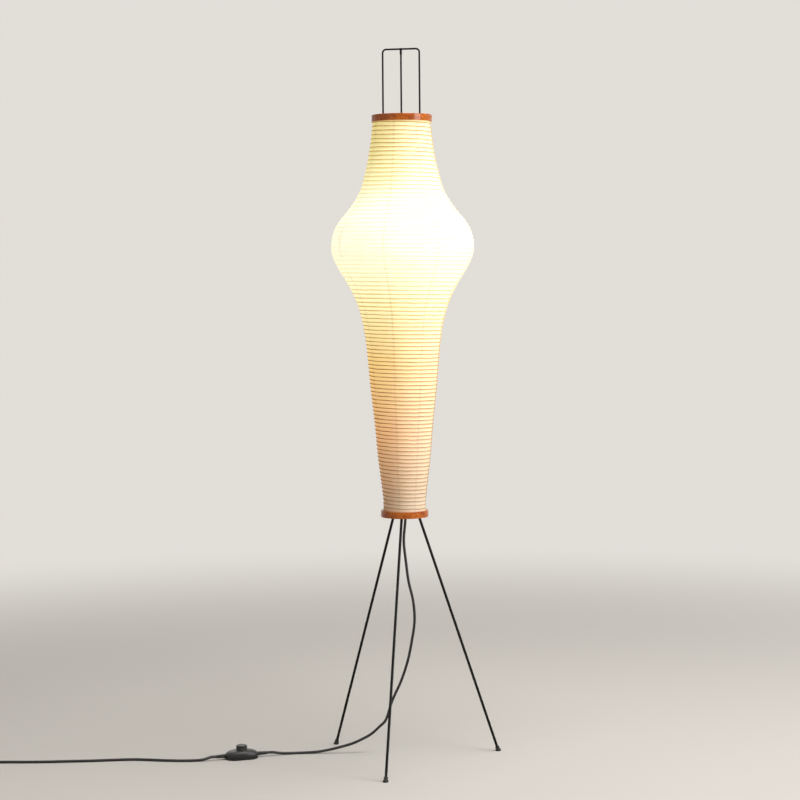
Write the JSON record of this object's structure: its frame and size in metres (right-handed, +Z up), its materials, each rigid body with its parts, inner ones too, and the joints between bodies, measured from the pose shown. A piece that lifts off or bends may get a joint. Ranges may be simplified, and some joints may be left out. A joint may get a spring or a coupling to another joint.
{
  "type": "paper lantern floor lamp",
  "caption": "Tall pear-shaped folded-paper lantern shade with bentwood hoops, hung by a wire bail from a stem on three splayed wire legs; cord with foot switch and plug.",
  "frame": {"origin": "point on the floor under the stem's axis, the centre of the circle through the three feet", "axes": "+Z up the stem, -Y towards the front leg, +X to the right seen from the front; the wire bail stands in the XZ plane"},
  "size_m": [1.213, 0.3805, 1.57],
  "materials": {
    "lacquered_wood": "bentwood hoop under glossy orange-brown lacquer",
    "paper": "translucent cream washi, folded over the ribs",
    "rib": "split bamboo, plain",
    "black_steel": "round steel under glossy black enamel",
    "screw_steel": "zinc-plated",
    "black_rubber": "matt black",
    "brass": "bright",
    "black_thermoset": "moulded thermoset, satin",
    "ceramic": "unglazed white",
    "bulb_cap": "rolled thread, satin",
    "frosted_glass": "inside-frosted, lit warm white",
    "cord": "smooth black sheath, satin",
    "switch_plastic": "moulded black plastic, satin"
  },
  "bodies": {
    "stand": {"top_hoop": "lacquered_wood", "upper_gore_1": "paper", "upper_gore_2": "paper", "upper_gore_3": "paper", "upper_gore_4": "paper", "upper_gore_5": "paper", "upper_gore_6": "paper", "upper_gore_7": "paper", "upper_gore_8": "paper", "shade_paper_lower": "paper", "shade_ribs_upper": "rib", "shade_ribs_lower": "rib", "bail": "black_steel", "stem": "black_steel", "stem_fork": "black_steel", "hub": "black_steel", "leg_front": "black_steel", "leg_right": "black_steel", "leg_left": "black_steel", "lamp_bracket": "black_steel", "leg_screws": "screw_steel", "neck_screw": "screw_steel", "bracket_screw": "screw_steel", "switch_screws": "screw_steel", "switch_spring": "screw_steel", "foot_front": "black_rubber", "foot_right": "black_rubber", "foot_left": "black_rubber", "cord_grip": "black_rubber", "switch_reliefs": "black_rubber", "plug_relief": "black_rubber", "cord_clips": "black_rubber", "coil_tie": "black_rubber", "nipple": "brass", "nipple_nut": "brass", "lampholder_contacts": "brass", "switch_contacts": "brass", "plug_pins": "brass", "lampholder_dome": "black_thermoset", "lampholder_shell": "black_thermoset", "lampholder_insert": "ceramic", "cord_inner": "cord", "cord_drop": "cord", "cord_lead": "cord", "cord_coil": "cord", "switch_base": "switch_plastic", "switch_cover": "switch_plastic", "plug_body": "switch_plastic"},
    "lower_shade": {"bottom_hoop": "lacquered_wood", "spreader": "black_steel"},
    "bulb": {"bulb_cap": "bulb_cap", "bulb_tip": "black_thermoset", "bulb_filament": "screw_steel", "bulb_glass": "frosted_glass"},
    "foot_button": {"switch_button": "switch_plastic"}
  },
  "joints": [
    {"name": "shade_lift", "type": "slide", "parent": "stand", "child": "lower_shade", "axis": [0, 0, 1], "range_m": [0, 0.34], "deforming": ["shade_paper_lower", "shade_ribs_lower"]},
    {"name": "bulb_turn", "type": "hinge", "parent": "stand", "child": "bulb", "pos_m": [0, 0.036, 1.15], "axis": [0, 0, 1], "range_deg": [0, 1080]},
    {"name": "foot_press", "type": "slide", "parent": "stand", "child": "foot_button", "axis": [0, 0, -1], "range_m": [0, 0.004], "stiffness_N_per_m": 800, "springref_m": -0.002, "deforming": ["switch_spring"]}
  ]
}
